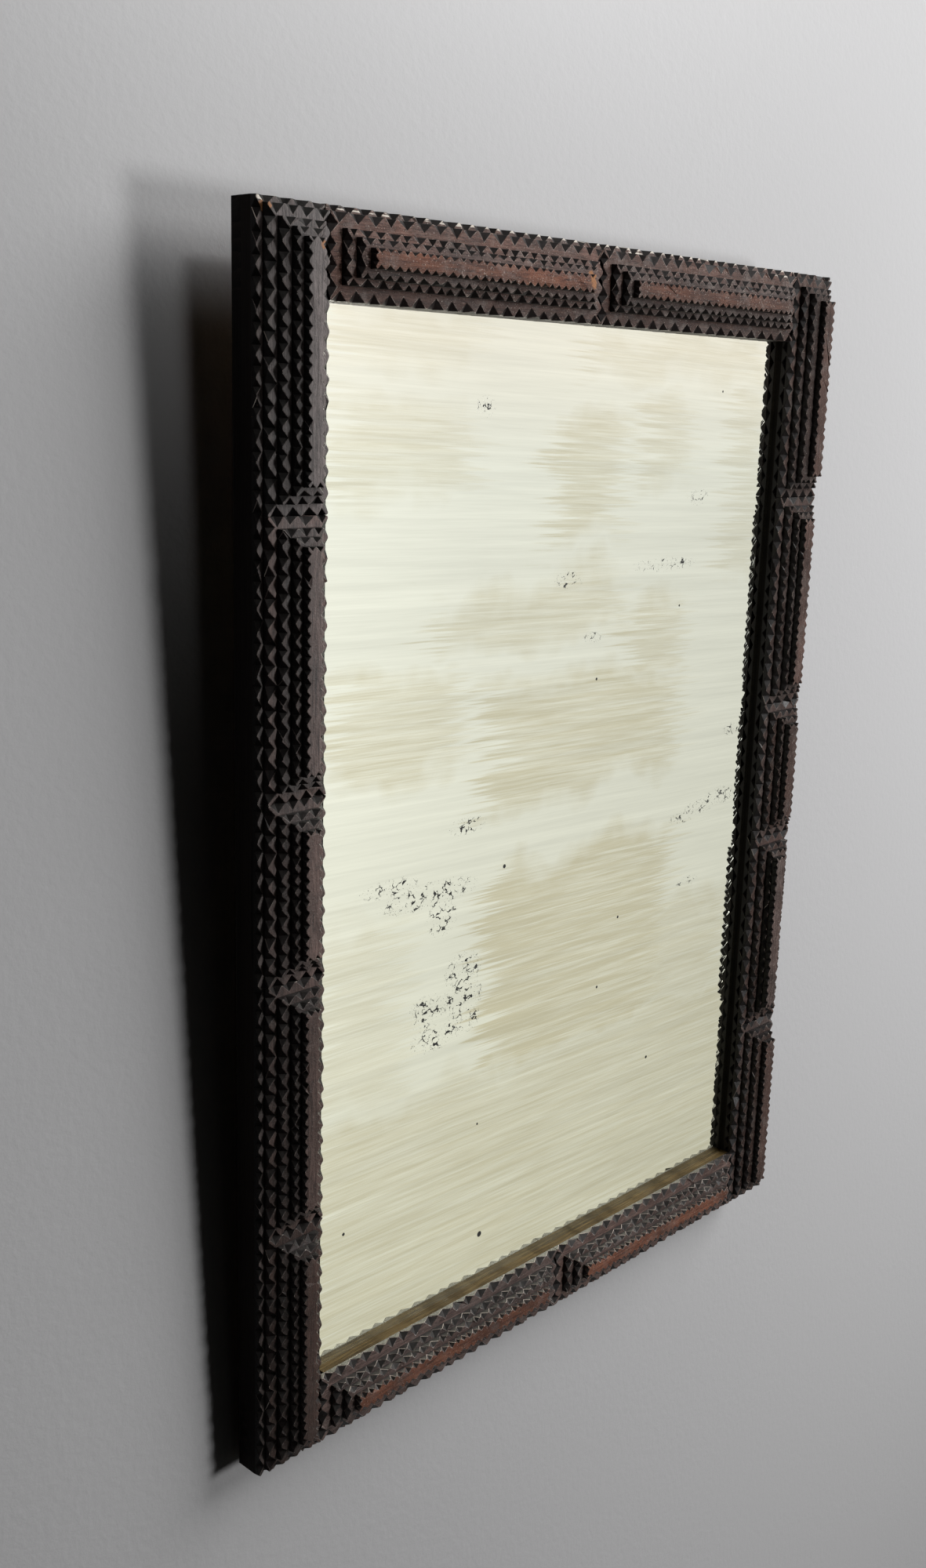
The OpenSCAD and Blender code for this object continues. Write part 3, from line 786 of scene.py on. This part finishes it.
def crackle(tree, here, parts):
    """Where the silvering is lost: branching cracks that thin out to the rim of each place, and spots."""
    flat = stretched(tree, here, CRACK_SPACE)
    wobble = node(tree, "TexNoise", {"Vector": flat, "Scale": 260.0, "Detail": 2.0}).outputs["Color"]
    bent = mix(tree, CRACK_BEND, flat, wobble, "LINEAR_LIGHT")
    cells = node(tree, "TexVoronoi", {"Vector": bent, "Scale": 170.0}, feature="DISTANCE_TO_EDGE")
    broken = noise(tree, flat, 130, detail=2)
    specks = span(tree, noise(tree, flat, 800, detail=1), (0.68, 0.72))
    inside = span(tree, nearest(tree, parts, CRACKLED), (0.3, 1.1), to=(1.0, 0.0))
    width = times(tree, inside, span(tree, broken, (0.48, 0.72), to=(0.0, CRACK_WIDTH)))
    cracks = span(tree, maths(tree, "SUBTRACT", width, cells.outputs["Distance"]), (0.0, 0.02))
    specks = times(tree, specks, span(tree, inside, (0.0, 0.3)))
    cracks = maths(tree, "MAXIMUM", cracks, specks)
    spots = nearest(tree, parts, [(x, z, radius, radius) for x, z, radius in SPOTTED])
    return maths(tree, "MAXIMUM", cracks, span(tree, spots, (0.7, 1.0), to=(1.0, 0.0)))


# Metal of the hangers and brads

# Its colour where it is rubbed bright and where it is dull, its least roughness, and how much rougher it gets
BRASS = ((0.62, 0.45, 0.19), (0.26, 0.18, 0.085), 0.28)
IRON = ((0.24, 0.22, 0.20), (0.10, 0.075, 0.06), 0.4)
DULL_ROUGHER = 0.3


def aged_metal(name, bright, dull, rough):
    """Tarnished metal: bright where it is rubbed, dull and rougher elsewhere."""
    made, tree, shader = new_material(name)
    here = coordinates(tree, "Object")
    blotch = noise(tree, here, 160, detail=5)
    scratch = noise(tree, stretched(tree, here, (1, 1, 9)), 500, detail=3)
    face = mix(tree, span(tree, blotch, (0.38, 0.66)), bright, dull)
    shader.inputs["Metallic"].default_value = 1.0
    height = plus(tree, blotch, scratch)
    surface(tree, shader, face, blotch, (rough, rough + DULL_ROUGHER), height, relief=(0.2, 0.2))
    return made


# Making the object

# Width of the rubbed arrises of boards and slips in mm, and the least angle of an arris in degrees
BOARD_ARRIS = 0.5
SLIP_ARRIS = 0.4
ARRIS_ANGLE = 50


def dress(name, material):
    """Gives a CAD node its material."""
    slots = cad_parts[name].data.materials
    slots.clear()
    slots.append(material)


def soften(name, width):
    """Rubs the sharp arrises off a CAD node."""
    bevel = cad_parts[name].modifiers.new("rubbed arrises", "BEVEL")
    bevel.width = width * MM
    bevel.segments = 2
    bevel.limit_method = "ANGLE"
    bevel.angle_limit = math.radians(ARRIS_ANGLE)


def make_carving():
    """The hand-cut layers, in the woods of their members."""
    woods = {}
    for member, (shine, cut_shine, arris_wear_and_glint) in FINISH.items():
        along = "Z" if member in ("left", "right") else "X"
        woods[member] = (
            stained_wood("stained_wood_" + member, along, shine, arris_wear_and_glint, SHADE_ACROSS.get(member)),
            cut_wood("cut_wood_" + member, along, cut_shine),
        )
    rng = random.Random(SEED)
    for name in sorted(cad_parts):
        if not name.endswith(tuple(NODE_LAYERS)):
            continue
        piece = carved_node(name, rng)
        for wood in woods[name.split("_")[0]]:
            piece.data.materials.append(wood)
        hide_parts(name)
        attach(piece, "frame")


def make_carcass():
    """The looks of the boards, slips, glass, panel and metal, which keep their CAD meshes."""
    stile_board, rail_board = (bare_or_black_board("board_wood_" + axis, axis) for axis in "ZX")
    for name, material in (
        ("left_stile_board", stile_board), ("right_stile_board", stile_board),
        ("top_rail_board", rail_board), ("bottom_rail_board", rail_board),
    ):
        dress(name, material)
        soften(name, BOARD_ARRIS)
    # The stile slips are painted dark as shade.
    dress("stile_sight_slips", slip_wood("slip_wood_Z", "Z", SHADED_SLIP, rubbed=False))
    dress("rail_sight_slips", slip_wood("slip_wood_X", "X", GOLDEN_SLIP, rubbed=True))
    for name in ("stile_sight_slips", "rail_sight_slips"):
        soften(name, SLIP_ARRIS)
    dress("mirror_glass", old_mirror("old_mirror"))
    dress("back_panel", aged_panel("panel_wood"))
    brass = aged_metal("brass", *BRASS)
    for name in ("hanger_straps", "hanger_screws", "left_hanger_ring", "right_hanger_ring"):
        dress(name, brass)
    dress("brads", aged_metal("iron", *IRON))


# Stage, light and camera

# Wall: its colour and roughness, its lean, its gap behind the foot of the frame, its width and its height
WALL_GREY = (0.461, 0.458, 0.463)
WALL_ROUGH = 0.85
WALL_LEAN = 0.042
WALL_BEHIND = 0.0056
WALL_WIDTH = 5.0
WALL_HEIGHT = 4.0
# Floor: its height, its reach to each side, its colour and roughness, and the glow that keeps it pale
FLOOR_DOWN = -1.05
FLOOR_REACH = 4.0
FLOOR_PALE = (0.62, 0.62, 0.62)
FLOOR_ROUGH = 0.8
FLOOR_GLOW = 0.35
# Colours of the surroundings as the mirror shows them, and as the camera sees them past the stage
AROUND_PALE = (0.97, 0.96, 0.90)
SEEN_GREY = (0.62, 0.62, 0.63)
# Directions between which their light changes: Y of a unit vector from front to back, X of it to the right
FRONT_TO_BACK = (-0.2, 0.2)
LEFT_TO_RIGHT = (-0.1, 0.5)
# Ray depth of light after one bounce and after two, and the levels in the mirror and of gloss after these
BOUNCES = (2.0, 3.0)
MIRROR_LEVELS = (0.95, 0.0)
GLOSS_LEVELS = (0.3, 1.8)
# Shares of that light at the front and the back, shares of the gloss at the left and the right, and the
# least light from the left and the right
BACK_SHARES = (1.0, 0.2)
RIGHT_SHARES = (0.2, 1.0)
AMBIENT_LEVELS = (0.001, 0.03)
# Lamps: place, what each points at, its diameter, its power in watts and its spread in degrees
CENTRE = (0, 0, 0.36)
LAMPS = {
    "level_lamp": ((1.15, -1.98, 0.36), CENTRE, 0.55, 24, 180),
    "high_window": ((1.48, -1.24, 1.6), CENTRE, 1.5, 46, 180),
    "wall_wash": ((-0.15, -1.2, 1.8), (-0.15, 0.05, 1.48), 0.4, 4.2, 60),
    "back_fill": ((0.5, 1.9, 0.9), CENTRE, 1.2, 40, 180),
}


def one_sided(name, colour, roughness, glow=0.0):
    """A matt stage material that is clear from behind and to light; its glow shows to the camera alone."""
    made, tree, shader = new_material(name)
    shader.inputs["Base Color"].default_value = (*colour, 1)
    shader.inputs["Roughness"].default_value = roughness
    grain = noise(tree, coordinates(tree, "Object"), 170, detail=3)
    put(tree, shader.inputs["Normal"], bump(tree, grain, relief=(0.3, 1.0)))
    rays = node(tree, "LightPath").outputs
    shader.inputs["Emission Color"].default_value = (*colour, 1)
    put(tree, shader.inputs["Emission Strength"], times(tree, rays["Is Camera Ray"], glow))
    behind = node(tree, "NewGeometry").outputs["Backfacing"]
    unseen = maths(tree, "MAXIMUM", behind, rays["Is Shadow Ray"])
    clear = node(tree, "BsdfTransparent").outputs[0]
    blend = node(tree, "MixShader", {0: unseen, 1: shader.outputs[0], 2: clear})
    tree.links.new(blend.outputs[0], tree.nodes["Material Output"].inputs["Surface"])
    return made


def plane(name, corners, material):
    """A flat piece of the stage."""
    mesh = bpy.data.meshes.new(name)
    mesh.from_pydata(corners, [], [(0, 1, 2, 3)])
    mesh.materials.append(material)
    made = bpy.data.objects.new(name, mesh)
    bpy.context.scene.collection.objects.link(made)
    return made


def make_stage():
    """A pale grey wall close behind the frame's foot that leans away from it, and a pale floor well below."""

    def wall_y(z):
        return WALL_BEHIND + WALL_LEAN * (z - cad_box[0].z)

    outline = rectangle(-WALL_WIDTH / 2, FLOOR_DOWN, WALL_WIDTH / 2, FLOOR_DOWN + WALL_HEIGHT)
    corners = [(x, wall_y(z), z) for x, z in outline]
    plane("wall", corners, one_sided("wall_paint", WALL_GREY, WALL_ROUGH))
    outline = rectangle(-FLOOR_REACH, -FLOOR_REACH, FLOOR_REACH, FLOOR_REACH)
    corners = [(x, y, FLOOR_DOWN) for x, y in outline]
    floor = plane("floor", corners, one_sided("floor_paint", FLOOR_PALE, FLOOR_ROUGH, FLOOR_GLOW))
    floor.visible_glossy = False
    floor.visible_diffuse = False


def make_world():
    """Pale surroundings that the mirror shows; as light they are weak, and weaker from the left."""
    world = bpy.data.worlds.new("surroundings")
    bpy.context.scene.world = world
    world.use_nodes = True
    world.cycles.sampling_method = "NONE"
    tree = world.node_tree
    back = tree.nodes["Background"]
    rays = node(tree, "LightPath").outputs
    seen, depth = rays["Is Camera Ray"], rays["Ray Depth"]
    way = xyz(tree, coordinates(tree, "Generated"))
    front = span(tree, way["Y"], FRONT_TO_BACK, to=BACK_SHARES)
    right = span(tree, way["X"], LEFT_TO_RIGHT, to=RIGHT_SHARES)
    ambient = span(tree, way["X"], LEFT_TO_RIGHT, to=AMBIENT_LEVELS)
    mirrored = times(tree, rays["Is Singular Ray"], span(tree, depth, BOUNCES, to=MIRROR_LEVELS))
    shining = times(tree, rays["Is Glossy Ray"], span(tree, depth, BOUNCES, to=GLOSS_LEVELS))
    gloss = maths(tree, "MAXIMUM", times(tree, right, shining), ambient)
    level = times(tree, front, maths(tree, "MAXIMUM", gloss, mirrored))
    put(tree, back.inputs["Color"], mix(tree, seen, AROUND_PALE, SEEN_GREY))
    put(tree, back.inputs["Strength"], maths(tree, "MAXIMUM", seen, level))


def area_lamp(name, at, target, size, power, spread):
    """A round soft lamp that the mirror doesn't show."""
    lamp = bpy.data.lights.new(name, "AREA")
    lamp.shape = "DISK"
    lamp.size = size
    lamp.energy = power
    lamp.spread = math.radians(spread)
    lamp.use_nodes = True
    tree = lamp.node_tree
    mirrored = node(tree, "LightPath").outputs["Is Singular Ray"]
    put(tree, tree.nodes["Emission"].inputs["Strength"], maths(tree, "SUBTRACT", 1.0, mirrored))
    made = bpy.data.objects.new(name, lamp)
    made.location = at
    made.rotation_euler = (Vector(target) - Vector(at)).to_track_quat("-Z", "Y").to_euler()
    bpy.context.scene.collection.objects.link(made)
    return made


def make_lamps():
    """Lamps level with the mirror, high to the right, on the wall above, and behind with no bounces."""
    lamps = {name: area_lamp(name, *settings) for name, settings in LAMPS.items()}
    lamps["back_fill"].data.cycles.max_bounces = 0


def make_camera():
    """The camera of the main view."""
    camera = bpy.data.cameras.new("camera")
    camera.sensor_fit = "VERTICAL"
    camera.sensor_height = SENSOR_HEIGHT
    camera.lens = CAMERA_LENS
    camera.shift_x, camera.shift_y = CAMERA_SHIFT
    made = bpy.data.objects.new("camera", camera)
    turn = Matrix.Rotation(math.radians(-CAMERA_TURN), 4, "Z")
    tilt = Matrix.Rotation(math.radians(90 - CAMERA_DOWN), 4, "X")
    roll = Matrix.Rotation(math.radians(CAMERA_ROLL), 4, "Z")
    made.matrix_world = Matrix.Translation(CAMERA_AT) @ turn @ tilt @ roll
    bpy.context.scene.collection.objects.link(made)
    bpy.context.scene.camera = made


make_camera()
make_carving()
make_carcass()
make_stage()
make_world()
make_lamps()
bpy.context.scene.view_settings.view_transform = "Standard"
